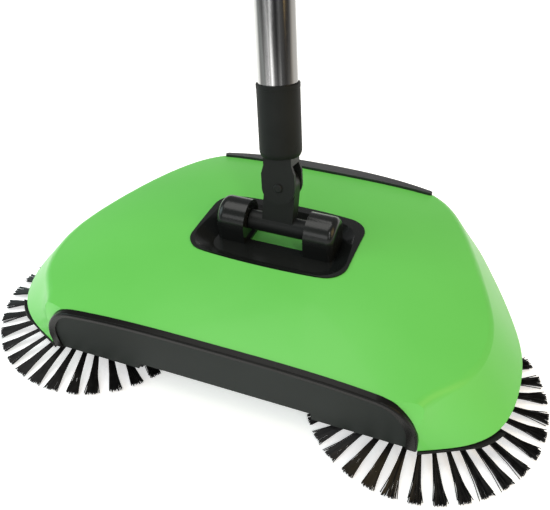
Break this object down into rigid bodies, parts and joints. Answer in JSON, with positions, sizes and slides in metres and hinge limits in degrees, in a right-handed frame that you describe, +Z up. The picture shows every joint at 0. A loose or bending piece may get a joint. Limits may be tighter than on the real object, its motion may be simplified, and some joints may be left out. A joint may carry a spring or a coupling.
{
  "type": "carpet sweeper",
  "caption": "Push carpet sweeper with toothed-gear side brushes, a driven centre roller, a slide-out rear dust drawer and a sectional pole on a two-way swivel.",
  "frame": {"origin": "on the floor, under the middle of the whole object's bounding box", "axes": "+X is the sweeper's right seen from behind it, +Y points back from the black front panel to the user, +Z is up"},
  "size_m": [0.3796, 0.474, 1.1148],
  "materials": {
    "shell_green": "glossy moulded plastic",
    "gloss_black": "glossy moulded plastic",
    "matt_black": "fine matt moulded plastic",
    "strip_grey": "satin moulded plastic",
    "inner_grey": "matt moulded plastic",
    "gear_white": "self-coloured acetal",
    "tube_steel": "polished steel",
    "plain_steel": "drawn steel",
    "bush_brass": "turned",
    "tyre_black": "moulded rubber tyre",
    "soft_black": "soft rubber",
    "bristle_black": "nylon filament"
  },
  "bodies": {
    "base": {"top_shell": "shell_green", "front_fascia": "gloss_black", "base_tray": "matt_black", "base_screws": "plain_steel", "gear_cover_right": "matt_black", "gear_cover_left": "matt_black", "brush_spindles": "plain_steel", "brush_retainers": "plain_steel", "axle_bushes": "bush_brass", "dust_scoop": "matt_black", "scoop_lip": "soft_black", "rear_pins": "plain_steel", "swivel_plate": "gloss_black", "plate_screws": "plain_steel", "pitch_pin": "plain_steel"},
    "drawer": {"dust_drawer": "inner_grey", "drawer_strip": "strip_grey"},
    "drive": {"drive_axle": "plain_steel", "roller_core": "inner_grey", "roller_bristles": "bristle_black", "wheel_right": "inner_grey", "wheel_left": "inner_grey", "tyre_right": "tyre_black", "tyre_left": "tyre_black", "pinion_right": "gear_white", "pinion_left": "gear_white"},
    "brush_right": {"brush_tufts_right": "bristle_black", "brush_hub_right": "matt_black", "brush_gear_right": "gear_white"},
    "brush_left": {"brush_tufts_left": "bristle_black", "brush_hub_left": "matt_black", "brush_gear_left": "gear_white"},
    "caster_right": {"rear_roller_right": "inner_grey"},
    "caster_left": {"rear_roller_left": "inner_grey"},
    "neck": {"swivel_neck": "gloss_black"},
    "pole": {"pole_fork": "gloss_black", "tilt_pin": "gloss_black", "pole_socket": "matt_black", "pole_tube_1": "tube_steel", "pole_tube_2": "tube_steel", "pole_tube_3": "tube_steel", "pole_joiner_1": "matt_black", "pole_joiner_2": "matt_black", "pole_grip": "soft_black", "end_cap": "matt_black"}
  },
  "joints": [
    {"name": "drive_turn", "type": "hinge", "parent": "base", "child": "drive", "pos_m": [0, -0.16185, 0.024], "axis": [1, 0, 0], "continuous": true},
    {"name": "brush_right_turn", "type": "hinge", "parent": "base", "child": "brush_right", "pos_m": [0.1147, -0.16185, 0.009], "axis": [0, 0, 1], "continuous": true},
    {"name": "brush_left_turn", "type": "hinge", "parent": "base", "child": "brush_left", "pos_m": [-0.1147, -0.16185, 0.009], "axis": [0, 0, 1], "continuous": true},
    {"name": "drawer_slide", "type": "slide", "parent": "base", "child": "drawer", "axis": [0, 1, 0], "range_m": [0, 0.115]},
    {"name": "caster_right_turn", "type": "hinge", "parent": "base", "child": "caster_right", "pos_m": [0.098, -0.04385, 0.0095], "axis": [1, 0, 0], "continuous": true},
    {"name": "caster_left_turn", "type": "hinge", "parent": "base", "child": "caster_left", "pos_m": [-0.098, -0.04385, 0.0095], "axis": [1, 0, 0], "continuous": true},
    {"name": "pole_pitch", "type": "hinge", "parent": "base", "child": "neck", "pos_m": [0, -0.10765, 0.0673], "axis": [-1, 0, 0], "range_deg": [-48, 62]},
    {"name": "pole_tilt", "type": "hinge", "parent": "neck", "child": "pole", "pos_m": [0, -0.09888, 0.09431], "axis": [0, 0.9511, -0.309], "range_deg": [-53.2, 66.8]}
  ],
  "couplings": [
    {"joint": "brush_right_turn", "follows": "drive_turn", "ratio": -0.33333},
    {"joint": "brush_left_turn", "follows": "drive_turn", "ratio": 0.33333}
  ]
}
